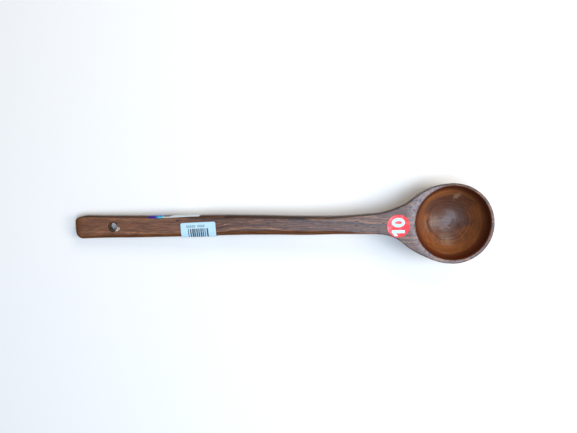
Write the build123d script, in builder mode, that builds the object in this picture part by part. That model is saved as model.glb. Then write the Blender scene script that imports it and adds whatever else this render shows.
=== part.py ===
"""Long-handled wooden ladle, carved from one piece, with the three stickers it is sold with.

Units are millimetres. The row frame is the ladle at rest on a table, bowl upwards:
+Z up, +X from the handle towards the bowl's tip, origin under the middle of the
whole ladle at table height.

The ladle itself is drawn in a tilted frame, because it rests on the bowl's belly and
on the lower edge of the handle's end. In that rim frame the origin is the bowl's
centre in the plane of the rim, x runs along the ladle and z is square to the rim.
"""

import os
from math import asin, atan2, cos, hypot, radians, sin
from typing import NamedTuple

from build123d import *

# ---- driving dimensions ----
overall_length = 355.0

bowl_radius = 33.5
bowl_depth = 30.0
belly_radius = 26.0
belly_flat = 5.0  # half width of the flat at the lowest point of the bowl
rim_edge = 0.8  # rounding of the rim's outer edge

hollow_radius = 30.6
hollow_depth = 25.0
hollow_fullness = 0.66  # 0.55 would be a quarter ellipse, 1 a square-cornered pot
hollow_shift = (-0.2, 0.6)  # the hollow was cut a little off the blank's centre
hollow_edge = 0.5  # rounding of the rim's inner edge

handle_end_thickness = 9.0
handle_end_belly = 2.5

hole_radius = 3.75
hole_from_end = 33.1

paper = 0.15
label_corner = 1.5  # rounding of the corners of the two long stickers

dot_radius = 9.5
dot_centre = (-44.9, -1.3)

barcode_length = 30.0
barcode_lean = 2.2  # degrees: both long stickers sit a little askew on the handle
barcode_edge = (-213.7, 3.4)  # middle of the edge that lies on top of the handle
barcode_foot = 8.8  # how far below the top face its wrapped edge ends

edge_label_length = 44.5
edge_label_lean = 2.0
edge_label_edge = (-234.0, 7.8)


class Station(NamedTuple):
    """One cross-section of the outside of the ladle, square to its length."""

    x: float
    upper: float  # half width on the +Y side
    lower: float  # half width on the -Y side
    depth: float
    edge_upper: float  # round-over of the top edge on the +Y side
    edge_lower: float
    belly_across: float  # the rounding underneath: its size across and downwards
    belly_down: float


handle_end_x = bowl_radius - overall_length

# The handle is shaped by eye, so its two sides wander a little and its round-overs differ.
past_end = handle_end_x - 2.0
handle_stations = [
    Station(past_end, 10.2, 10.2, handle_end_thickness, 1.5, 2.4, handle_end_belly, handle_end_belly),
    Station(-300.0, 9.85, 9.8, 9.0, 1.5, 2.6, 2.6, 2.6),
    Station(-265.0, 9.3, 9.55, 9.2, 1.6, 2.8, 2.7, 2.7),
    Station(-225.0, 9.3, 9.1, 9.5, 1.8, 3.2, 2.9, 2.9),
    Station(-185.0, 9.2, 8.3, 9.8, 2.2, 3.8, 3.1, 3.1),
    Station(-145.0, 8.25, 8.45, 10.0, 2.4, 4.2, 3.2, 3.2),
    Station(-115.0, 7.45, 8.6, 10.2, 2.2, 3.7, 3.2, 3.2),
    Station(-90.0, 7.6, 8.05, 10.4, 1.5, 2.6, 3.2, 3.4),
]
shoulder_stations = [
    Station(-70.0, 8.8, 8.2, 10.9, 1.0, 1.4, 3.8, 4.2),
    Station(-56.0, 10.55, 8.8, 11.8, rim_edge, 0.9, 5.2, 5.6),
    Station(-46.0, 13.95, 12.4, 13.4, rim_edge, rim_edge, 8.5, 7.8),
    Station(-38.0, 17.75, 18.5, 15.9, rim_edge, rim_edge, 13.5, 10.8),
    Station(-30.0, 23.5, 23.8, 19.6, rim_edge, rim_edge, 19.0, 14.8),
    Station(-22.0, 28.5, 27.8, 24.3, rim_edge, rim_edge, 23.6, 20.2),
    Station(-14.0, 31.6, 31.1, 28.4, rim_edge, rim_edge, 26.6, 24.4),
    Station(-6.0, 33.0, 33.0, 29.95, rim_edge, rim_edge, 28.0, 25.95),
]
bowl_station = Station(
    0.0, bowl_radius, bowl_radius, bowl_depth, rim_edge, rim_edge, bowl_radius - belly_flat, belly_radius
)
stations = [*handle_stations, *shoulder_stations, bowl_station]

QUARTER = 0.5523  # makes a cubic curve follow a quarter of an ellipse

# ---- how the ladle lies ----
# Seen from the side, the table is the lower common tangent of two circles: the belly
# and the rounded lower edge of the handle's end.
belly_centre = (-belly_flat, belly_radius - bowl_depth)
end_centre = (handle_end_x + handle_end_belly, handle_end_belly - handle_end_thickness)
between = (belly_centre[0] - end_centre[0], belly_centre[1] - end_centre[1])
rest_tilt = asin((belly_radius - handle_end_belly) / hypot(*between)) - atan2(between[1], between[0])


def rest_point(x, z):
    """Where a point of the rim frame lies on the table: along it, and above the belly's centre."""
    along = x * cos(rest_tilt) - z * sin(rest_tilt)
    above = (x - belly_centre[0]) * sin(rest_tilt) + (z - belly_centre[1]) * cos(rest_tilt)
    return along, above


tip_along = rest_point(bowl_radius, -rim_edge)[0]
tail_along = rest_point(handle_end_x, -handle_end_thickness / 2)[0]
rim_plane = Plane(
    origin=(-(tip_along + tail_along) / 2, 0, belly_radius + rest_point(0, 0)[1]),
    x_dir=(cos(rest_tilt), 0, sin(rest_tilt)),
    z_dir=(-sin(rest_tilt), 0, cos(rest_tilt)),
)


def end_x(distance):
    """Rim-frame x at a distance from the handle's end."""
    return handle_end_x + distance


def cross_plane(x, y=0.0):
    """Plane of a cross-section: its own x is the ladle's width, its own y is height."""
    return Plane(origin=rim_plane.from_local_coords((x, y, 0)), x_dir=(0, 1, 0), z_dir=rim_plane.x_dir)


def leaning_plane(point, lean):
    """The rim plane moved to a point of it and turned about its own normal, in degrees."""
    along = rim_plane.from_local_coords((cos(radians(lean)), sin(radians(lean)), 0))
    return Plane(
        origin=rim_plane.from_local_coords((*point, 0)),
        x_dir=Vector(along) - rim_plane.origin,
        z_dir=rim_plane.z_dir,
    )


def half_outline(half, depth, edge, across, down, grow=0.0):
    """Points of one half of a cross-section, from the middle of the top to the flat of the belly."""
    side = half + grow
    floor = -depth - grow
    wide = across + grow
    deep = down + grow
    return {
        "top": (side - edge - grow, grow),
        "shoulder": (side, -edge),
        "wall_foot": (side, floor + deep),
        "pull_down": (side, floor + deep - QUARTER * deep),
        "pull_in": (side - wide + QUARTER * wide, floor),
        "flat": (side - wide, floor),
    }


def cross_section(station, grow=0.0):
    """The outside of the ladle at one station, or the same shape grown outwards."""
    belly = (station.belly_across, station.belly_down, grow)
    right = half_outline(station.upper, station.depth, station.edge_upper, *belly)
    left = half_outline(station.lower, station.depth, station.edge_lower, *belly)
    left = {name: (-point[0], point[1]) for name, point in left.items()}
    with BuildSketch(cross_plane(station.x)) as section:
        with BuildLine():
            Line(left["top"], right["top"])
            RadiusArc(right["top"], right["shoulder"], station.edge_upper + grow)
            Line(right["shoulder"], right["wall_foot"])
            Bezier(right["wall_foot"], right["pull_down"], right["pull_in"], right["flat"])
            Line(right["flat"], left["flat"])
            Bezier(left["flat"], left["pull_in"], left["pull_down"], left["wall_foot"])
            Line(left["wall_foot"], left["shoulder"])
            RadiusArc(left["shoulder"], left["top"], station.edge_lower + grow)
        make_face()
    return section.sketch


# ---- the ladle: handle, shoulder and bowl in one piece of wood ----
bowl_half = half_outline(bowl_radius, bowl_depth, rim_edge, bowl_station.belly_across, belly_radius)
hollow_plane = cross_plane(*hollow_shift)

with BuildPart() as ladle:
    loft([cross_section(station) for station in stations])

    # the front half of the bowl is turned, from the last cross-section
    with BuildSketch(cross_plane(0)):
        with BuildLine():
            Line((0, 0), bowl_half["top"])
            RadiusArc(bowl_half["top"], bowl_half["shoulder"], rim_edge)
            Line(bowl_half["shoulder"], bowl_half["wall_foot"])
            Bezier(bowl_half["wall_foot"], bowl_half["pull_down"], bowl_half["pull_in"], bowl_half["flat"])
            Line(bowl_half["flat"], (0, -bowl_depth))
            Line((0, -bowl_depth), (0, 0))
        make_face()
    revolve(axis=Axis(rim_plane.origin, rim_plane.z_dir), revolution_arc=-180)

    # the hollow
    with BuildSketch(hollow_plane):
        with BuildLine():
            Line((0, 1), (0, -hollow_depth))
            Bezier(
                (0, -hollow_depth),
                (hollow_fullness * hollow_radius, -hollow_depth),
                (hollow_radius, (hollow_fullness - 1) * hollow_depth),
                (hollow_radius, -hollow_edge),
            )
            RadiusArc((hollow_radius, -hollow_edge), (hollow_radius + hollow_edge, 0), -hollow_edge)
            Line((hollow_radius + hollow_edge, 0), (hollow_radius + hollow_edge, 1))
            Line((hollow_radius + hollow_edge, 1), (0, 1))
        make_face()
    revolve(axis=Axis(hollow_plane.origin, rim_plane.z_dir), mode=Mode.SUBTRACT)

    # the handle's end, sawn to rounded corners
    with BuildSketch(rim_plane.offset(2)):
        with BuildLine():
            RadiusArc((end_x(18), 10.6), (end_x(4), 8.9), -60)
            RadiusArc((end_x(4), 8.9), (end_x(0), 5.0), -4.6)
            RadiusArc((end_x(0), 5.0), (end_x(0), -4.0), -60)
            RadiusArc((end_x(0), -4.0), (end_x(8), -10.3), -7.5)
            Line((end_x(8), -10.3), (end_x(8), -16))
            Line((end_x(8), -16), (end_x(-4), -16))
            Line((end_x(-4), -16), (end_x(-4), 16))
            Line((end_x(-4), 16), (end_x(18), 16))
            Line((end_x(18), 16), (end_x(18), 10.6))
        make_face()
    extrude(amount=-20, mode=Mode.SUBTRACT)

    # the hanging hole
    with Locations(Location(rim_plane) * Location((end_x(hole_from_end), 0, 0))):
        Hole(hole_radius)
ladle.part.label = "ladle"

# ---- round price sticker, on the flat of the shoulder ----
with BuildPart() as price_dot:
    with BuildSketch(leaning_plane(dot_centre, 0)):
        Circle(dot_radius)
    extrude(amount=paper)
price_dot.part.label = "price_dot"

# ---- barcode sticker, folded over the handle's -Y edge ----
barcode_plane = leaning_plane(barcode_edge, barcode_lean)
with BuildPart() as barcode_label:
    loft([cross_section(station, paper) for station in stations])
    with BuildSketch(barcode_plane.offset(3)):
        outline = Rectangle(barcode_length, 24, align=(Align.CENTER, Align.MAX))
        fillet(outline.vertices().group_by(Axis.Y)[-1], label_corner)
    extrude(amount=-3 - barcode_foot, mode=Mode.INTERSECT)
    add(ladle.part, mode=Mode.SUBTRACT)
barcode_label.part.label = "barcode_label"

# ---- long narrow label, folded over the handle's +Y edge ----
with BuildPart() as edge_label:
    loft([cross_section(station, paper) for station in stations])
    with BuildSketch(leaning_plane(edge_label_edge, edge_label_lean).offset(3)):
        Rectangle(edge_label_length, 12, align=(Align.CENTER, Align.MIN))
    extrude(amount=-20, mode=Mode.INTERSECT)
    add(ladle.part, mode=Mode.SUBTRACT)
edge_label.part.label = "edge_label"

os.makedirs("parts", exist_ok=True)
export_step(ladle.part, "parts/ladle.step")
export_step(price_dot.part, "parts/price_dot.step")
export_step(barcode_label.part, "parts/barcode_label.step")
export_step(edge_label.part, "parts/edge_label.step")
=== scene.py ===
"""Looks for the long-handled hardwood ladle and the three stickers it is sold with.

Sizes are millimetres in the ladle's own frame, as in the CAD: x runs along the ladle towards the
bowl's tip, z is square to the rim, and the origin is in the middle of the bowl's mouth.
"""

from math import atan2, ceil, cos, exp, hypot, pi, radians, sin
from typing import NamedTuple

import bmesh
import bpy
from mathutils import Matrix, Vector, noise
from mathutils.bvhtree import BVHTree


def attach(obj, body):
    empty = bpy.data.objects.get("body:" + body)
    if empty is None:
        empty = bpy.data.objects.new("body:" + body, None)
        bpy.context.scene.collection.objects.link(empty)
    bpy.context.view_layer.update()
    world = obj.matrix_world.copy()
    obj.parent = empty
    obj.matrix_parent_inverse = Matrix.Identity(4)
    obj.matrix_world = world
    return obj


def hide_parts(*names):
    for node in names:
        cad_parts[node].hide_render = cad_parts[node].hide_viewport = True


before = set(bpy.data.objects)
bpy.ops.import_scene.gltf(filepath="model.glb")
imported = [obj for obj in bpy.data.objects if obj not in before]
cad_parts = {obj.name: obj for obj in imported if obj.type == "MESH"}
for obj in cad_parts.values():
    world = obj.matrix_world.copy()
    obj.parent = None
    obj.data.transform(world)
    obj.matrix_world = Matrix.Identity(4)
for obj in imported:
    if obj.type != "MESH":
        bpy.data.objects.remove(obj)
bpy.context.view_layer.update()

MM = 0.001

# ---- the ladle's own frame, and how it lies at rest ----
REST_TILT = radians(3.8358)
BOWL_CENTRE = Vector((143.5, 0.0, 30.3255))
HANDLE_END = -321.5
HOLLOW = (-0.2, 0.6)
HOLLOW_RADIUS = 30.6
HOLE = (-288.4, 0.0)
HOLE_RADIUS = 3.75
DOT = (-44.9, -1.3)
DOT_RADIUS = 9.5

LADLE_TO_ROW = (
    Matrix.Scale(MM, 4) @ Matrix.Translation(BOWL_CENTRE) @ Matrix.Rotation(-REST_TILT, 4, "Y")
)
ROW_TO_LADLE = LADLE_TO_ROW.inverted()


def smoothstep(start, end, value):
    """An eased ramp: 0 at start and before it, 1 at end and past it, whichever is the larger."""
    t = min(1.0, max(0.0, (value - start) / (end - start)))
    return t * t * (3 - 2 * t)


def bell(value, middle, width):
    """1 at middle, fading out both ways over width."""
    return exp(-(((value - middle) / width) ** 2))


def new_piece(name, bm, node_name):
    """Puts a finished mesh into the scene as the piece that stands for a CAD node."""
    mesh = bpy.data.meshes.new(name)
    bm.to_mesh(mesh)
    bm.free()
    for face in mesh.polygons:
        face.use_smooth = True
    piece = bpy.data.objects.new(name, mesh)
    bpy.context.scene.collection.objects.link(piece)
    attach(piece, "root")
    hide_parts(node_name)
    return piece


# ---- the wood: an evenly meshed blank ----
MESH_SQUARE = 0.62
SOFT_END = 4.0  # how much of the handle's end is rubbed soft


def evenly_meshed(node):
    """A merged copy of a CAD node, meshed again in even squares, in the ladle's own millimetres."""
    bm = bmesh.new()
    bm.from_mesh(node.data)
    bmesh.ops.remove_doubles(bm, verts=bm.verts, dist=1e-6)
    bmesh.ops.transform(bm, matrix=ROW_TO_LADLE, verts=bm.verts)
    rough = bpy.data.meshes.new("rough_blank")
    bm.to_mesh(rough)
    bm.free()
    holder = bpy.data.objects.new("rough_blank", rough)
    bpy.context.scene.collection.objects.link(holder)
    even = holder.modifiers.new("even", "REMESH")
    even.mode = "VOXEL"
    even.voxel_size = MESH_SQUARE
    graph = bpy.context.evaluated_depsgraph_get()
    result = bmesh.new()
    result.from_object(holder, graph)
    bpy.data.objects.remove(holder)
    return result


def rub(bm, verts, times=1):
    for _ in range(times):
        bmesh.ops.smooth_vert(bm, verts=verts, factor=0.5, use_axis_x=True, use_axis_y=True, use_axis_z=True)


def ease_edges(bm):
    """Rubs the carved surface: a little everywhere, more at the handle's end and round the hole."""
    rub(bm, bm.verts)
    rub(bm, [v for v in bm.verts if v.co.x < HANDLE_END + SOFT_END], 5)
    rub(bm, [v for v in bm.verts if hypot(v.co.x - HOLE[0], v.co.y - HOLE[1]) < HOLE_RADIUS + 0.8])


# ---- the wood: tool marks, each as a push along the surface's normal ----
def in_hollow(place, normal, radius):
    """Whether a point is on the wall or floor of the hollow, facing its axis."""
    facing = normal.x * (place.x - HOLLOW[0]) + normal.y * (place.y - HOLLOW[1])
    return radius < HOLLOW_RADIUS + 0.6 and facing < 0.02 * radius and -26.0 < place.z < -0.1


WALL_RADIUS = 26.0  # turns an angle from the bottom of the hollow into a distance up its wall
FINE_RING, SLOW_RIPPLE = 2.6, 7.1  # distances from one crest to the next
HIGH_RIDGE = {"radius": 26.4, "wander": 0.7, "height": 0.58, "width": 1.3}
LOW_RIDGE = {"radius": 19.0, "wander": 1.3, "height": 0.34, "width": 1.9}


def lathe_marks(place, radius):
    """Fine rings and a slow ripple, and two ridges that the turner left on the handle's side."""
    climb = atan2(radius, -(place.z + 3.0)) * WALL_RADIUS
    push = 0.012 * sin(climb * 2 * pi / FINE_RING) + 0.03 * sin(climb * 2 * pi / SLOW_RIPPLE + 0.8)
    push += 0.10 * noise.noise(place * 0.09)
    bearing = atan2(place.y - HOLLOW[1], place.x - HOLLOW[0])
    handle_side = 0.5 - 0.5 * cos(bearing + 0.35)
    high = HIGH_RIDGE["radius"] + HIGH_RIDGE["wander"] * sin(bearing * 2.0 + 0.6)
    push += HIGH_RIDGE["height"] * handle_side * bell(radius, high, HIGH_RIDGE["width"])
    low = LOW_RIDGE["radius"] + LOW_RIDGE["wander"] * sin(bearing + 0.4)
    broken = smoothstep(-0.25, 0.35, noise.noise(Vector((place.x, place.y, 9.0)) * 0.07))
    push += LOW_RIDGE["height"] * handle_side * broken * bell(radius, low, LOW_RIDGE["width"])
    return push


def knife_flats(place):
    """Knife and rasp flats, long along the grain, and a finer unevenness over them."""
    along = Vector((place.x * 0.035, place.y * 0.11, place.z * 0.11))
    flats = 0.16 * noise.noise(along) * smoothstep(0.0, 3.0, abs(place.z) + 1.2)
    return flats + 0.05 * noise.noise(along * 3.1 + Vector((7.0, 2.0, 5.0)))


def rim_wear(place, normal, radius):
    """How far the rim is rubbed down towards the hollow: widest and deepest on the shoulder."""
    on_shoulder = smoothstep(-4.0, -22.0, place.x)
    spread = 1.1 + 6.0 * on_shoulder
    outwards = max(0.0, radius - HOLLOW_RADIUS - 0.4)
    if place.z <= -1.5 or outwards >= spread:
        return 0.0
    return (0.22 + 0.34 * on_shoulder) * (1.0 - outwards / spread) ** 2 * max(0.0, normal.z)


TEAR_BEARING = -0.45  # the torn side of the hole, from the ladle's x, in radians
TEAR_DEPTH = 0.55


def torn_grain(place):
    """How torn the top face is beside the hole, where the drill lifted the grain: 0 to 1."""
    from_hole = Vector((place.x - HOLE[0], place.y - HOLE[1], 0))
    reach = from_hole.length
    if reach >= 9.0 or place.z <= -2.0:
        return 0.0
    sector = bell(atan2(from_hole.y, from_hole.x), TEAR_BEARING, 0.55)
    ragged = 0.75 + 0.5 * noise.noise(Vector((place.x * 1.1, place.y * 1.6, 3.0)))
    return sector * (1.0 - smoothstep(0.2, 1.0 + 3.4 * sector * ragged, reach - HOLE_RADIUS))


# radius of the -Y round-over along the handle: (x, radius)
ROUND_OVER = [
    (-321.0, 2.4), (-265.0, 2.8), (-225.0, 3.2), (-185.0, 3.8),
    (-145.0, 4.2), (-115.0, 3.7), (-90.0, 2.6), (-60.0, 1.0),
]
BEVEL_SLOPE = 0.50


def round_over(x):
    for (x0, radius0), (x1, radius1) in zip(ROUND_OVER, ROUND_OVER[1:]):
        if x <= x1:
            share = min(1.0, max(0.0, (x - x0) / (x1 - x0)))
            return radius0 + share * (radius1 - radius0)
    return ROUND_OVER[-1][1]


def near_bevel(place, normal, inside):
    """The handle's -Y round-over, planed to a shallow bevel that runs out at the shoulder.

    Gives how far it is cut away, and how much of the worn colour, darkened partly as painted shade, goes
    there, 0 to 1.
    """
    turn = atan2(-normal.y, max(normal.z, 1e-4))
    planed = (1.0 - smoothstep(-95.0, -62.0, place.x)) * smoothstep(-6.5, -4.5, place.z)
    cut = 0.0
    if 0.0 < turn < 1.0 and not inside:
        bevel = max(0.0, BEVEL_SLOPE * sin(turn) - (1.0 - cos(turn)))
        cut = planed * round_over(place.x) * bevel / max(normal.z, 0.5)
    return cut, smoothstep(0.04, 0.12, turn) * planed


def far_edges(verts):
    """How far the ladle reaches towards +Y in each millimetre of its length."""
    reach = {}
    for vert in verts:
        reach[round(vert.co.x)] = max(reach.get(round(vert.co.x), 0.0), vert.co.y)
    return reach


EASING_DEPTH = 0.40


def far_easing(place, from_edge):
    """Where the +Y top edge was eased with a rasp, from the middle of the handle to the neck: 0 to 1."""
    stretch = smoothstep(-240.0, -222.0, place.x) * (1.0 - smoothstep(-118.0, -84.0, place.x))
    return stretch * smoothstep(3.1, 2.2, from_edge) * smoothstep(-4.0, -2.5, place.z)


def painted_sheen_mask(place, normal, radius):
    """Painted sheen along the bowl: a pale bluish film on the shoulder, most on its +Y half, and thinly on the
    -Y rim.
    """
    far_side = smoothstep(-6.0, 14.0, place.y)
    near_bowl = 1.0 - smoothstep(1.0, 6.5 + 4.5 * far_side, radius - HOLLOW_RADIUS)
    on_shoulder = smoothstep(0.0, 0.75, -(place.x - HOLLOW[0]) / max(radius, 1.0)) * (0.85 + 0.30 * far_side)
    on_rim = 0.55 * smoothstep(0.55, 0.90, -(place.y - HOLLOW[1]) / max(radius, 1.0))
    return near_bowl * max(on_shoulder, on_rim) * smoothstep(0.6, 0.95, normal.z)


END_ROUNDING = 3.0
END_DROP = 1.2


def end_drop(place):
    """How far the top edge of the sawn end was rounded down by hand."""
    past = min(0.97, max(0.0, (HANDLE_END + END_ROUNDING - place.x) / END_ROUNDING))
    return END_DROP * (1.0 - (1.0 - past * past) ** 0.5) * smoothstep(-8.0, -1.0, place.z)


FINISHES = ("worn_and_shaded", "torn", "hollow", "painted_sheen", "shaded")


def carve(bm):
    """Works the blank with every tool mark, and writes what it does to the finish as attributes.

    worn_and_shaded: the sawn end worn warm, and the -Y round-over worn and darkened as painted shade. torn:
    bare lifted fibres.
    hollow: turned, inside the bowl. painted_sheen: painted sheen along the bowl. shaded: painted shade on the
    +Y side wall and top edge.
    """
    layer = {name: bm.verts.layers.float.new(name) for name in FINISHES}
    bm.normal_update()
    reach = far_edges(bm.verts)
    moves = []
    for vert in bm.verts:
        place, normal = vert.co, vert.normal
        radius = hypot(place.x - HOLLOW[0], place.y - HOLLOW[1])
        inside = in_hollow(place, normal, radius)
        up = max(0.0, normal.z)
        push = lathe_marks(place, radius) if inside else knife_flats(place) - rim_wear(place, normal, radius)
        torn = torn_grain(place)
        cut, bevel_wear_and_shade = near_bevel(place, normal, inside)
        from_edge = reach[round(place.x)] - place.y
        eased = far_easing(place, from_edge)
        push -= cut + TEAR_DEPTH * torn * up
        push -= EASING_DEPTH * eased * smoothstep(3.0, 0.5, from_edge) * up
        moves.append(normal * push - Vector((0.0, 0.0, end_drop(place))))

        sawn = 1.0 - smoothstep(HANDLE_END + 2.0, HANDLE_END + 8.5, place.x)
        # shaded is painted shade: the +Y side wall, and the eased +Y top edge below.
        side = smoothstep(0.06, 0.32, normal.y) * (1.0 - smoothstep(10.0, 25.0, place.x))
        # The -Y round-over's worn colour is darkened partly as painted shade; the sawn end's is wear.
        vert[layer["worn_and_shaded"]] = max(bevel_wear_and_shade, sawn)
        vert[layer["torn"]] = torn
        vert[layer["hollow"]] = 1.0 if inside else 0.0
        # Painted sheen: a pale bluish film along the bowl.
        vert[layer["painted_sheen"]] = 0.0 if inside else painted_sheen_mask(place, normal, radius)
        vert[layer["shaded"]] = eased if inside else max(side, eased)
    for vert, move in zip(bm.verts, moves):
        vert.co += move


blank = evenly_meshed(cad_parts["ladle"])
ease_edges(blank)
carve(blank)
skin = BVHTree.FromBMesh(blank)
bmesh.ops.transform(blank, matrix=LADLE_TO_ROW, verts=blank.verts)
ladle = new_piece("ladle_wood", blank, "ladle")


# ---- stickers ----
HANDLE_MIDDLE = -4.7  # z of a line inside the handle, from which its outline is felt out
outlines = {}


def section_walk(x, side):
    """The handle's outline at x as (distance walked, point, normal), from the centre line of the top
    towards side (+1 or -1) in y, and a little the other way."""
    key = (round(x, 1), side)
    if key not in outlines:
        centre = Vector((key[0], 0.0, HANDLE_MIDDLE))
        stops = []
        for degree in range(-70, 176, 3):
            swing = radians(degree)
            point, normal, _, _ = skin.ray_cast(centre, Vector((0.0, side * sin(swing), cos(swing))))
            walked = stops[-1][0] + (point - stops[-1][1]).length if stops else 0.0
            stops.append((walked, point, normal))
        crossing = next(i for i, stop in enumerate(stops) if side * stop[1].y >= 0.0)
        before, after = stops[crossing - 1], stops[crossing]
        share = -side * before[1].y / (side * (after[1].y - before[1].y))
        start = before[0] + share * (after[0] - before[0])
        outlines[key] = [(walked - start, point, normal) for walked, point, normal in stops]
    return outlines[key]


def on_handle(x, walked, side):
    """Point and outward normal on the handle, a walked distance from its centre line."""
    stops = section_walk(x, side)
    for before, after in zip(stops, stops[1:]):
        if before[0] <= walked <= after[0]:
            share = (walked - before[0]) / (after[0] - before[0])
            return before[1].lerp(after[1], share), before[2].lerp(after[2], share).normalized()
    return stops[-1][1], stops[-1][2]


PAPER = 0.13
GLUE = 0.03
PAPER_CELL = 0.6  # cuts in the paper, so that it can bend


def cut_paper(length, width, corner):
    """A flat rounded rectangle of paper, 0..length by 0..width, cut into a grid, its UV in millimetres."""
    bm = bmesh.new()
    corners = [bm.verts.new(p) for p in ((0, 0, 0), (length, 0, 0), (length, width, 0), (0, width, 0))]
    bm.faces.new(corners)
    bmesh.ops.bevel(
        bm, geom=list(bm.verts), offset=corner, offset_type="OFFSET", segments=5, profile=0.5,
        affect="VERTICES", material=-1,
    )
    cross_cut(bm, Vector((1, 0, 0)), length)
    cross_cut(bm, Vector((0, 1, 0)), width)
    return with_flat_uv(bm)


def cut_disc(radius):
    """A flat disc of paper, centred, cut into a grid, with its UV in millimetres."""
    bm = bmesh.new()
    bmesh.ops.create_circle(bm, cap_ends=True, radius=radius, segments=72)
    bmesh.ops.translate(bm, verts=bm.verts, vec=(radius, radius, 0))
    cross_cut(bm, Vector((1, 0, 0)), 2 * radius)
    cross_cut(bm, Vector((0, 1, 0)), 2 * radius)
    bmesh.ops.translate(bm, verts=bm.verts, vec=(-radius, -radius, 0))
    return with_flat_uv(bm)


def cross_cut(bm, along, span):
    """Parallel cuts right across the paper."""
    count = ceil(span / PAPER_CELL)
    for i in range(1, count):
        geom = list(bm.verts) + list(bm.edges) + list(bm.faces)
        bmesh.ops.bisect_plane(bm, geom=geom, dist=1e-5, plane_co=along * (span * i / count), plane_no=along)


def with_flat_uv(bm):
    uv = bm.loops.layers.uv.new("print")
    for face in bm.faces:
        for loop in face.loops:
            loop[uv].uv = (loop.vert.co.x, loop.vert.co.y)
    return bm


def stick_on(name, bm, place, node_name):
    """Lays cut paper where place(u, v) says, a hair off the wood, and gives it its thickness."""
    for vert in bm.verts:
        point, normal, lift = place(vert.co.x, vert.co.y)
        vert.co = LADLE_TO_ROW @ (point + normal * (GLUE + lift))
    bmesh.ops.recalc_face_normals(bm, faces=bm.faces)
    outwards = sum((f.normal * f.calc_area() for f in bm.faces), Vector())
    if outwards.z < 0:
        bmesh.ops.reverse_faces(bm, faces=bm.faces)
    sticker = new_piece(name, bm, node_name)
    thick = sticker.modifiers.new("paper", "SOLIDIFY")
    thick.thickness = PAPER * MM
    thick.offset = 1.0
    return sticker


class Label(NamedTuple):
    """A long sticker folded over one side of the handle, with one long edge on the top face."""

    length: float
    width: float
    corner: float
    middle: float  # x of the middle of its edge on the top face
    start: float  # that edge's walked distance from the centre line, towards the folded side
    lean: float
    side: int  # +1 folds over the +Y edge, -1 over the -Y edge


BARCODE = Label(30.2, 19.5, 1.6, -213.7, -3.4, radians(2.2), -1)
NARROW = Label(44.5, 13.0, 1.4, -234.0, 7.8, radians(2.0), 1)


def wrapped(label, u, v):
    """Point, normal and lift of a label's own place (u, v): its edges curl up a little."""
    along = u - label.length / 2
    x = label.middle + along * cos(label.lean) - label.side * v * sin(label.lean)
    walked = label.start + label.side * along * sin(label.lean) + v * cos(label.lean)
    point, normal = on_handle(x, walked, label.side)
    return point, normal, 0.10 * exp(-min(u, label.length - u, v) / 0.8)


def barcode_place(u, v):
    """The barcode sticker bridges the -Y edge a little as it turns down the side."""
    point, normal, lift = wrapped(BARCODE, u, v)
    return point, normal, lift + 0.55 * bell(v, 13.2, 2.6)


def narrow_place(u, v):
    """The narrow label has a blister on the +Y edge, where it was pulled."""
    point, normal, lift = wrapped(NARROW, u, v)
    return point, normal, lift + 0.45 * bell(u, 37.0, 5.0) * bell(v, 1.2, 1.6)


def dot_place(u, v):
    """The round price sticker, on the flat of the shoulder."""
    x, y = DOT[0] + u, DOT[1] + v
    point, _, _, _ = skin.ray_cast(Vector((x, y, 5.0)), Vector((0, 0, -1)))
    wrinkle = 0.05 * max(0.0, noise.noise(Vector((u * 0.16, v * 0.16, 4.0))))
    curl = 0.12 * exp(-(DOT_RADIUS - hypot(u, v)) / 0.7)
    return Vector((x, y, point.z)), Vector((0, 0, 1)), wrinkle + curl


barcode = stick_on(
    "barcode_paper", cut_paper(BARCODE.length, BARCODE.width, BARCODE.corner), barcode_place,
    "barcode_label",
)
narrow = stick_on(
    "narrow_paper", cut_paper(NARROW.length, NARROW.width, NARROW.corner), narrow_place,
    "edge_label",
)
dot = stick_on("price_paper", cut_disc(DOT_RADIUS), dot_place, "price_dot")


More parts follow.
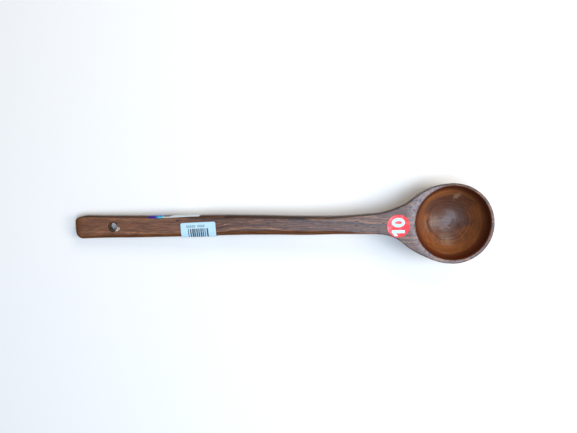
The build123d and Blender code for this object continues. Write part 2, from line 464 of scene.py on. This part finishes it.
# ---- shader groundwork ----
class Graph:
    """A node tree and short ways to add to it. A value in inputs is a number, a tuple or a socket to link."""

    def __init__(self, tree):
        self.tree = tree

    def node(self, kind, inputs=None, **settings):
        made = self.tree.nodes.new(kind)
        for key, value in settings.items():
            setattr(made, key, value)
        for key, value in (inputs or {}).items():
            socket = made.inputs[key]
            if isinstance(value, bpy.types.NodeSocket):
                self.tree.links.new(value, socket)
            else:
                socket.default_value = value
        return made

    def link(self, target, values):
        """Links each value to the input of that name on the target node."""
        for name, value in values.items():
            self.tree.links.new(value, target.inputs[name])

    def math(self, operation, a, b=0.0, c=0.0, clamp=False):
        made = self.node("ShaderNodeMath", {0: a, 1: b, 2: c}, operation=operation, use_clamp=clamp)
        return made.outputs[0]

    def times(self, a, *others):
        for other in others:
            a = self.math("MULTIPLY", a, other)
        return a

    def plus(self, a, b):
        return self.math("ADD", a, b)

    def minus(self, a, b):
        return self.math("SUBTRACT", a, b)

    def scaled_plus(self, a, factor, b):
        return self.math("MULTIPLY_ADD", a, factor, b)

    def ramp(self, value, low, high, low_out=0.0, high_out=1.0):
        made = self.node(
            "ShaderNodeMapRange",
            {"Value": value, "From Min": low, "From Max": high, "To Min": low_out, "To Max": high_out},
            interpolation_type="SMOOTHSTEP",
        )
        return made.outputs["Result"]

    def band(self, value, low, high, soft=0.12):
        """1 where value lies between low and high."""
        rise = self.ramp(value, low - soft, low + soft)
        fall = self.ramp(value, high - soft, high + soft, 1.0, 0.0)
        return self.times(rise, fall)

    def mix(self, factor, a, b, blend="MIX"):
        made = self.node("ShaderNodeMix", {0: factor, 6: a, 7: b}, data_type="RGBA", blend_type=blend)
        return made.outputs[2]

    def split(self, vector):
        return self.node("ShaderNodeSeparateXYZ", {0: vector}).outputs

    def stretch(self, vector, scale):
        return self.node("ShaderNodeMapping", {"Vector": vector, "Scale": scale}).outputs[0]

    def noise(self, vector, stretch, detail=2.0, roughness=0.5, distortion=0.0):
        """Noise with its place stretched first: a small number draws it out along that axis."""
        made = self.node(
            "ShaderNodeTexNoise",
            {
                "Vector": self.stretch(vector, stretch), "Scale": 1.0, "Detail": detail,
                "Roughness": roughness, "Distortion": distortion,
            },
        )
        return made.outputs[0]

    def lines(self, value, scale, detail, roughness):
        """Noise along one number only, for layers and rings."""
        made = self.node(
            "ShaderNodeTexNoise", {"W": value, "Scale": scale, "Detail": detail, "Roughness": roughness},
            noise_dimensions="1D",
        )
        return made.outputs[0]

    def ellipse(self, place, centre, size, turn=0.0):
        """0 at centre, growing to 1 at the edge of an ellipsoid of that size."""
        within = self.node(
            "ShaderNodeMapping",
            {"Vector": place, "Location": centre, "Rotation": (0, 0, turn), "Scale": size},
            vector_type="TEXTURE",
        ).outputs[0]
        return self.node("ShaderNodeVectorMath", {0: within}, operation="LENGTH").outputs["Value"]

    def attribute(self, name):
        made = self.node("ShaderNodeAttribute", attribute_name=name, attribute_type="GEOMETRY")
        return made.outputs["Fac"]

    def effect(self, tree, place):
        """The outputs of an effect's node group, at a place on the piece."""
        return self.node("ShaderNodeGroup", {"Place": place}, node_tree=tree).outputs


def effect_group(name, outputs):
    """A node group fed by a place in millimetres: the group, its Graph, that place and its output node."""
    tree = bpy.data.node_groups.new(name, "ShaderNodeTree")
    tree.interface.new_socket("Place", in_out="INPUT", socket_type="NodeSocketVector")
    for label in outputs:
        tree.interface.new_socket(label, in_out="OUTPUT", socket_type="NodeSocketFloat")
    g = Graph(tree)
    return tree, g, g.node("NodeGroupInput").outputs["Place"], g.node("NodeGroupOutput")


ARCH = {"middle": -158.0, "reach": 52.0, "height": 3.4}  # the cathedral figure in the handle


def timber_figure():
    """Growth layers, fibres, pores, flecks and patches of a flat-sawn plank, x along the grain."""
    tree, g, place, out = effect_group("timber_figure", ["Layers", "Fibres", "Pores", "Flecks", "Patches"])
    x, y, z = g.split(place)
    wander = g.times(g.minus(g.noise(place, (0.018, 0.09, 0.09), 3.0), 0.5), 7.0)
    arch = g.math("POWER", g.math("DIVIDE", g.math("SUBTRACT", x, ARCH["middle"]), ARCH["reach"]), 2.0)
    arch = g.times(g.math("EXPONENT", g.times(arch, -1.0)), -ARCH["height"])
    depth = g.scaled_plus(y, 0.55, g.times(z, 0.8))
    depth = g.plus(depth, g.scaled_plus(x, 0.012, g.plus(wander, arch)))
    layers = g.lines(depth, 0.55, 4.0, 0.68)
    pores = g.ramp(g.noise(place, (0.22, 2.6, 2.6)), 0.57, 0.68)
    g.link(out, {
        "Layers": layers,
        "Fibres": g.noise(place, (0.075, 0.95, 0.95), 5.0, 0.66, 0.25),
        "Pores": g.times(pores, g.ramp(layers, 0.36, 0.60, 0.35, 1.0)),
        "Flecks": g.ramp(g.noise(place, (0.13, 0.85, 0.85), 3.0, 0.6), 0.57, 0.68),
        "Patches": g.noise(place, (0.02, 0.10, 0.10)),
    })
    return tree


SCRATCHED = {"centre": (6.4, 21.5, 0), "size": (12.5, 5.5, 200.0), "turn": radians(52.0)}


def bowl_turning():
    """The hollow: fine rings and scratches high on one side that the lathe left, and a painted lit stretch of
    the wall.
    """
    tree, g, place, out = effect_group("bowl_turning", ["Rings", "Scratches", "Edge", "PaintedLightSide"])
    from_axis = g.node(
        "ShaderNodeMapping", {"Vector": place, "Location": (-HOLLOW[0], -HOLLOW[1], 0)}
    ).outputs[0]
    x, y, _ = g.split(from_axis)
    radius = g.math("SQRT", g.plus(g.math("POWER", x, 2.0), g.math("POWER", y, 2.0)))
    drift = g.noise(from_axis, (0.06, 0.06, 0.06))
    # painted light: a lit stretch of the wall, towards the handle's +Y side
    toward = g.scaled_plus(y, 0.75, g.times(x, -0.66))
    slanted = g.node("ShaderNodeMapping", {"Vector": from_axis, "Rotation": (0, 0, radians(-48.0))}).outputs[0]
    scratch = g.noise(slanted, (0.14, 1.9, 1.9), 4.0, 0.72, 0.8)
    nearness = g.ramp(
        g.ellipse(from_axis, SCRATCHED["centre"], SCRATCHED["size"], SCRATCHED["turn"]), 0.2, 1.0, 1.0, 0.0
    )
    threshold = g.scaled_plus(nearness, -0.30, 0.83)
    g.link(out, {
        "Rings": g.lines(g.scaled_plus(drift, 5.0, radius), 0.75, 3.0, 0.7),
        "Scratches": g.ramp(g.minus(scratch, threshold), 0.0, 0.05),
        "Edge": g.math("DIVIDE", radius, HOLLOW_RADIUS),
        "PaintedLightSide": g.ramp(g.scaled_plus(drift, 8.0, toward), 4.0, 26.0),
    })
    return tree


def paper_fibre():
    """Fine tooth of label paper and the soft dents from the uneven wood below it."""
    tree, g, place, out = effect_group("paper_fibre", ["Tooth", "Dents"])
    g.link(out, {"Tooth": g.noise(place, (3.0, 3.0, 3.0)), "Dents": g.noise(place, (0.16, 0.3, 0.3))})
    return tree


timber = timber_figure()
turning = bowl_turning()
paper_tooth = paper_fibre()


def new_material(name):
    """A material with its Principled shader in place, and the place in the ladle's own millimetres."""
    material = bpy.data.materials.new(name)
    material.use_nodes = True
    g = Graph(material.node_tree)
    shader = material.node_tree.nodes["Principled BSDF"]
    centred = g.node(
        "ShaderNodeMapping",
        {
            "Vector": g.node("ShaderNodeTexCoord").outputs["Object"],
            "Location": tuple(BOWL_CENTRE * MM), "Rotation": (0, -REST_TILT, 0),
        },
        vector_type="TEXTURE",
    ).outputs[0]
    return material, g, shader, g.stretch(centred, (1000.0, 1000.0, 1000.0))


# ---- oiled hardwood ----
DARK_LAYER = (0.030, 0.013, 0.011, 1)
MID_LAYER = (0.095, 0.036, 0.017, 1)
LIGHT_LAYER = (0.290, 0.135, 0.066, 1)
PLUM_PATCH = (0.12, 0.050, 0.034, 1)
RED_TAIL = (0.205, 0.078, 0.035, 1)
PALE_FLECK = (0.240, 0.115, 0.060, 1)
PAINTED_COOL_SHEEN = (0.21, 0.20, 0.26, 1)
KNOT = (0.040, 0.010, 0.004, 1)
TURNED_DARK, TURNED_LIGHT = (0.120, 0.029, 0.004, 1), (0.320, 0.094, 0.012, 1)
HEARTWOOD = (0.070, 0.024, 0.016, 1)
LIT_RING = (0.360, 0.125, 0.034, 1)
PAINTED_SHADE_HANDLE_SIDE = (0.100, 0.026, 0.014, 1)
PAINTED_SHADE_UNDER_RIM = (0.075, 0.010, 0.001, 1)
SHADED_WORN_DARK, SHADED_WORN_LIGHT = (0.072, 0.020, 0.003, 1), (0.155, 0.048, 0.007, 1)
PAINTED_SIDE_SHADE = (0.026, 0.009, 0.002, 1)
OPEN_PORE = (0.014, 0.006, 0.004, 1)
PAINTED_SHEEN_TINT = (0.37, 0.36, 0.41, 1)
BARE_FIBRE = (0.62, 0.50, 0.38, 1)
SCRATCHED_WOOD = (0.62, 0.40, 0.24, 1)
SPLINTER = (0.62, 0.53, 0.44, 1)
PIT = (0.030, 0.018, 0.020, 1)


def plank_colour(g, place, figure):
    """Dark and light layers, redder and more even towards the handle's end, a painted cool sheen towards the
    bowl, and one small knot.
    """
    layers, patches = figure["Layers"], figure["Patches"]
    x = g.split(place)[0]
    colour = g.mix(g.ramp(layers, 0.40, 0.49), DARK_LAYER, MID_LAYER)
    colour = g.mix(g.ramp(layers, 0.51, 0.62), colour, LIGHT_LAYER)
    colour = g.mix(g.ramp(patches, 0.35, 0.70, 0.0, 0.30), colour, PLUM_PATCH)
    colour = g.mix(g.ramp(x, -250.0, -190.0, 0.62, 0.0), colour, RED_TAIL)
    streaks = g.ramp(figure["Fibres"], 0.30, 0.70, 0.50, 1.45)
    streaks = g.node("ShaderNodeCombineColor", {0: streaks, 1: streaks, 2: streaks}).outputs[0]
    colour = g.mix(1.0, colour, streaks, "MULTIPLY")
    colour = g.mix(g.times(figure["Flecks"], 0.46), colour, PALE_FLECK)
    # Painted sheen: a cool grey film over the handle towards the bowl.
    colour = g.mix(g.ramp(x, -215.0, -120.0, 0.0, 0.11), colour, PAINTED_COOL_SHEEN)
    knot = g.ramp(g.ellipse(place, (-231.0, 4.6, 0), (1.9, 1.1, 6.0)), 0.4, 1.1, 0.85, 0.0)
    return g.mix(knot, colour, KNOT)


def turned_colour(g, place, patches, lathe):
    """The hollow: orange-brown and ringed, with purple-brown heartwood on its floor towards +Y, a painted lit
    ring, and painted shade on the handle's side.
    """
    off_middle = g.minus(patches, 0.5)
    ring_tone = g.plus(lathe["Rings"], g.times(off_middle, 0.5))
    colour = g.mix(g.ramp(ring_tone, 0.22, 0.76), TURNED_DARK, TURNED_LIGHT)
    heart = g.scaled_plus(off_middle, 0.9, g.ellipse(place, (-1.0, 4.6, 0), (21.5, 20.0, 200.0)))
    colour = g.mix(g.ramp(heart, 0.74, 1.08, 0.78, 0.0), colour, HEARTWOOD)
    # Painted light: a lit ring on the hollow's wall, towards the handle's +Y side.
    lit_ring = g.times(g.band(lathe["Edge"], 0.74, 0.90, 0.06), lathe["PaintedLightSide"])
    colour = g.mix(g.times(lit_ring, 0.60), colour, LIT_RING)
    # Painted shade: the hollow's wall on the handle's side is darkened.
    return g.mix(g.ramp(g.split(place)[0], -27.0, -17.0, 0.50, 0.0), colour, PAINTED_SHADE_HANDLE_SIDE)


def with_splinter(g, place, colour):
    """A splinter that curls up beside the hanging hole, round a small dark pit."""
    curl = g.ellipse(place, (HOLE[0] + 5.0, HOLE[1] - 1.7, 0), (1.2, 0.85, 3.0), 0.5)
    crumbs = g.noise(place, (0.9, 1.2, 1.2), 3.0, 0.7)
    curl = g.scaled_plus(g.minus(crumbs, 0.5), 2.4, curl)
    colour = g.mix(g.times(g.band(curl, 0.55, 1.45, 0.35), 0.85), colour, SPLINTER)
    return g.mix(g.ramp(curl, 0.25, 0.55, 0.85, 0.0), colour, PIT)


def oiled_hardwood():
    """Dark figured hardwood, oiled: brown layers, open pores, rubbed edges darkened partly as painted shade,
    painted shade, painted sheen and a painted lit ring, bare torn fibres.
    """
    material, g, shader, place = new_material("oiled_hardwood")
    figure, lathe = g.effect(timber, place), g.effect(turning, place)
    fibres, pores = figure["Fibres"], figure["Pores"]
    worn_and_shaded, torn, hollow, painted_sheen, shaded = (g.attribute(name) for name in FINISHES)
    scratches = g.times(lathe["Scratches"], hollow)

    colour = plank_colour(g, place, figure)
    colour = g.mix(g.times(hollow, 0.78), colour, turned_colour(g, place, figure["Patches"], lathe))
    # Painted shade on the steep wall just under the rim.
    colour = g.mix(g.times(hollow, g.ramp(lathe["Edge"], 0.84, 0.98, 0.0, 0.88)), colour, PAINTED_SHADE_UNDER_RIM)
    # Worn colour on the -Y round-over and the sawn end, darkened partly as painted shade.
    colour = g.mix(g.times(worn_and_shaded, 0.92), colour, g.mix(g.ramp(fibres, 0.35, 0.65), SHADED_WORN_DARK, SHADED_WORN_LIGHT))
    # Painted shade on the +Y side wall and the eased +Y top edge.
    colour = g.mix(g.times(shaded, 0.78), colour, PAINTED_SIDE_SHADE)
    colour = g.mix(g.times(pores, 0.70), colour, OPEN_PORE)
    # Painted sheen: a pale bluish film along the bowl.
    sheen_patches = g.times(painted_sheen, g.ramp(g.noise(place, (0.5, 0.22, 0.3), 4.0, 0.7), 0.34, 0.62))
    colour = g.mix(g.times(sheen_patches, 0.50), colour, PAINTED_SHEEN_TINT)
    frayed = g.scaled_plus(g.noise(place, (0.55, 1.3, 1.3), 3.0, 0.7), 0.9, torn)
    frayed = g.times(g.ramp(frayed, 0.78, 0.92), g.ramp(torn, 0.05, 0.25))
    colour = g.mix(frayed, colour, BARE_FIBRE)
    colour = g.mix(g.times(scratches, 0.90), colour, SCRATCHED_WOOD)
    colour = with_splinter(g, place, colour)

    rough = g.scaled_plus(pores, 0.25, g.scaled_plus(fibres, 0.22, 0.28))
    rough = g.scaled_plus(worn_and_shaded, -0.06, g.scaled_plus(hollow, -0.08, rough))
    rough = g.math("MULTIPLY_ADD", g.math("MAXIMUM", torn, scratches), 0.35, rough, clamp=True)
    height = g.scaled_plus(pores, -1.0, g.times(fibres, 0.8))
    height = g.plus(height, g.times(hollow, lathe["Rings"], 0.35))
    height = g.scaled_plus(scratches, 0.5, height)
    bump = g.node("ShaderNodeBump", {"Strength": 0.45, "Distance": 0.00015, "Height": height}).outputs[0]
    g.link(shader, {"Base Color": colour, "Roughness": rough, "Normal": bump})
    shader.inputs["IOR"].default_value = 1.5
    return material


# ---- printed papers: u runs along a long sticker and v down from its edge on the top face ----
def printed_place(g):
    u, v, _ = g.split(g.node("ShaderNodeUVMap", uv_map="print").outputs[0])
    return u, v


def finish_paper(g, shader, place, colour, roughness, dent):
    """Puts the print on the paper with its tooth and dents."""
    paper = g.effect(paper_tooth, place)
    rough = g.scaled_plus(paper["Tooth"], 0.12, roughness)
    height = g.scaled_plus(paper["Dents"], dent, g.times(paper["Tooth"], 0.04))
    bump = g.node("ShaderNodeBump", {"Strength": 0.4, "Distance": 0.0003, "Height": height}).outputs[0]
    g.link(shader, {"Base Color": colour, "Roughness": rough, "Normal": bump})


# the print's layout: from and to, along the label and down it
BARS_PER_MM, BAR_PHASE = 0.56, 0.476
BARS_ALONG, BARS_DOWN = (6.2, 24.2), (5.3, 18.0)
DASHES_PER_MM = 0.62
DASHES_ALONG, DASHES_DOWN, DASH_MIDDLES = (4.84, 20.97), (2.3, 4.3), (3.0, 3.6)
WORD_GAP = (12.90, 14.52)
LABEL_PAPER, BAR_INK, DASH_INK = (0.50, 0.74, 0.90, 1), (0.03, 0.035, 0.045, 1), (0.10, 0.11, 0.13, 1)


def barcode_print():
    """White thermal label: a row of plain dashes, and bars that encode nothing running to its far edge."""
    material, g, shader, place = new_material("white_label_paper")
    u, v = printed_place(g)
    pitch = g.scaled_plus(u, BARS_PER_MM, BAR_PHASE)
    share = g.node("ShaderNodeTexWhiteNoise", {"W": g.math("FLOOR", pitch)}, noise_dimensions="1D")
    share = g.scaled_plus(share.outputs["Value"], 0.42, 0.42)
    bars = g.math("LESS_THAN", g.math("FRACT", pitch), share)
    bars = g.times(bars, g.times(g.band(u, *BARS_ALONG, 0.05), g.band(v, *BARS_DOWN, 0.15)))
    # the dashes are little hollow boxes in two words
    within = g.math("FRACT", g.times(u, DASHES_PER_MM))
    hollows = g.times(g.band(within, 0.36, 0.64, 0.10), g.band(v, *DASH_MIDDLES, 0.25))
    boxes = g.minus(g.band(within, 0.14, 0.86, 0.12), hollows)
    words = g.times(boxes, g.times(g.band(u, *DASHES_ALONG, 0.1), g.band(v, *DASHES_DOWN, 0.2)))
    words = g.times(words, g.minus(1.0, g.band(u, *WORD_GAP, 0.1)))
    colour = g.mix(g.times(words, 0.78), LABEL_PAPER, DASH_INK)
    colour = g.mix(g.times(bars, 0.95), colour, BAR_INK)
    finish_paper(g, shader, place, colour, 0.42, 0.5)
    return material


VIOLET, BLUE, PAINTED_CYAN_HIGHLIGHT = (0.035, 0.010, 0.24, 1), (0.012, 0.15, 0.50, 1), (0.05, 0.55, 0.80, 1)
YELLOW, DARK_FIELD, WHITE_FIELD = (0.75, 0.62, 0.14, 1), (0.055, 0.035, 0.035, 1), (0.56, 0.62, 0.64, 1)


def narrow_print():
    """Narrow label: violet running to blue under a painted cyan highlight along its top edge, a yellow tick,
    then dark and white fields.
    """
    material, g, shader, place = new_material("blue_label_paper")
    u, v = printed_place(g)
    blue = g.mix(g.ramp(u, 5.0, 8.0), VIOLET, BLUE)
    # Painted highlight: cyan along the label's edge on the top face.
    blue = g.mix(g.times(g.ramp(u, 7.0, 9.0), g.ramp(v, 1.2, 2.0, 1.0, 0.0)), blue, PAINTED_CYAN_HIGHLIGHT)
    # past the blue, a white strip widens from the top edge over a dark field until all is white
    strip = g.ramp(u, 18.0, 31.0, 1.0, 14.0)
    plain = g.mix(g.ramp(g.minus(v, strip), -0.15, 0.15, 1.0, 0.0), DARK_FIELD, WHITE_FIELD)
    colour = g.mix(g.ramp(u, 13.2, 13.6), blue, plain)
    tick = g.times(g.band(u, 12.6, 13.8, 0.1), g.ramp(v, 1.4, 1.8, 1.0, 0.0))
    colour = g.mix(tick, colour, YELLOW)
    finish_paper(g, shader, place, colour, 0.28, 0.5)
    return material


STICKER_RED, FADED_RED, FIGURE_WHITE = (0.86, 0.022, 0.036, 1), (0.92, 0.22, 0.25, 1), (0.56, 0.86, 0.90, 1)
ZERO_MIDDLE = 2.9


def price_print():
    """Round red sticker with the number 10 in plain white figures, reading up along +Y.

    The figures stand across the ladle: they read along +v, and their tops point to -u.
    """
    material, g, shader, place = new_material("red_sticker_paper")
    u, v = printed_place(g)

    def oval(half_width, half_height):
        across = g.math("POWER", g.math("DIVIDE", g.minus(v, ZERO_MIDDLE), half_width), 2.0)
        upright = g.math("POWER", g.math("DIVIDE", u, half_height), 2.0)
        return g.plus(across, upright)

    stem = g.times(g.band(v, -5.9, -3.4), g.band(u, -5.3, 5.3))
    sloped = g.plus(g.times(g.plus(u, 4.5), 0.80), g.times(g.plus(v, 4.4), 0.60))
    flag = g.times(g.band(sloped, -1.15, 1.15), g.times(g.band(v, -8.4, -3.6), g.band(u, -5.3, -0.4)))
    zero = g.times(g.ramp(oval(3.9, 5.4), 0.94, 1.06, 1.0, 0.0), g.ramp(oval(1.35, 3.0), 0.85, 1.15))
    figures = g.math("MAXIMUM", g.math("MAXIMUM", stem, flag), zero, clamp=True)
    mottle = g.noise(place, (0.20, 0.20, 0.20), 4.0, 0.6)
    faded = g.plus(mottle, g.times(g.minus(g.times(v, 0.5), u), 0.012))
    red = g.mix(g.ramp(faded, 0.42, 0.70, 0.0, 0.80), STICKER_RED, FADED_RED)
    finish_paper(g, shader, place, g.mix(figures, red, FIGURE_WHITE), 0.48, 0.6)
    return material


ladle.data.materials.append(oiled_hardwood())
barcode.data.materials.append(barcode_print())
narrow.data.materials.append(narrow_print())
dot.data.materials.append(price_print())


# ---- floor, light and camera, in metres ----
def pale_floor():
    bm = bmesh.new()
    bmesh.ops.create_grid(bm, x_segments=1, y_segments=1, size=4.0)
    mesh = bpy.data.meshes.new("floor")
    bm.to_mesh(mesh)
    bm.free()
    table = bpy.data.objects.new("floor", mesh)
    bpy.context.scene.collection.objects.link(table)
    table.location.z = -0.0002
    material = bpy.data.materials.new("pale_floor")
    material.use_nodes = True
    shader = material.node_tree.nodes["Principled BSDF"]
    shader.inputs["Base Color"].default_value = (0.90, 0.89, 0.88, 1)
    shader.inputs["Roughness"].default_value = 0.9
    table.data.materials.append(material)


def soft_panel(name, place, aim, size, colour, watts):
    """A rectangular soft light at place, turned to aim."""
    lamp = bpy.data.lights.new(name, "AREA")
    lamp.shape = "RECTANGLE"
    lamp.size, lamp.size_y = size
    lamp.color = colour
    lamp.energy = watts
    panel = bpy.data.objects.new(name, lamp)
    panel.location = place
    panel.rotation_euler = (Vector(aim) - Vector(place)).to_track_quat("-Z", "Y").to_euler()
    bpy.context.scene.collection.objects.link(panel)


def studio():
    """A big cool window overhead, two warm lamps, and a small cool window over the handle's end."""
    world = bpy.data.worlds.new("studio_air")
    world.use_nodes = True
    air = world.node_tree.nodes["Background"]
    air.inputs["Color"].default_value = (1.0, 0.96, 0.92, 1)
    air.inputs["Strength"].default_value = 0.16
    bpy.context.scene.world = world
    soft_panel("window_overhead", (0.28, -0.15, 1.15), (0.06, 0.0, 0.0), (1.1, 0.55), (0.68, 0.83, 1.0), 13.0)
    soft_panel("lamp_right", (0.95, -0.05, 0.75), (0.05, 0.0, 0.0), (0.5, 0.5), (1.0, 0.92, 0.82), 6.5)
    soft_panel("lamp_far_side", (0.40, 0.75, 0.65), (0.12, 0.0, 0.0), (0.5, 0.5), (1.0, 0.86, 0.68), 4.0)
    soft_panel("window_left", (-0.42, -0.18, 1.0), (0.0, 0.0, 0.0), (0.30, 0.30), (0.66, 0.80, 1.0), 0.7)


def overhead_camera():
    """Looks down from about arm's height, leaning a little, the ladle lying across the frame."""
    height, lean, turn = 0.460, radians(6.0), radians(0.98)
    slide = Vector((-0.00756, -0.00552, 0.0))
    camera = bpy.data.cameras.new("camera")
    camera.sensor_width = 36.0
    camera.lens = 32.59
    stand = bpy.data.objects.new("camera", camera)
    stand.matrix_world = (
        Matrix.Rotation(-turn, 4, "Z") @ Matrix.Translation(-slide) @ Matrix.Rotation(-lean, 4, "X")
        @ Matrix.Translation((0, 0, height))
    )
    bpy.context.scene.collection.objects.link(stand)
    bpy.context.scene.camera = stand


pale_floor()
studio()
overhead_camera()
bpy.context.scene.view_settings.view_transform = "Standard"
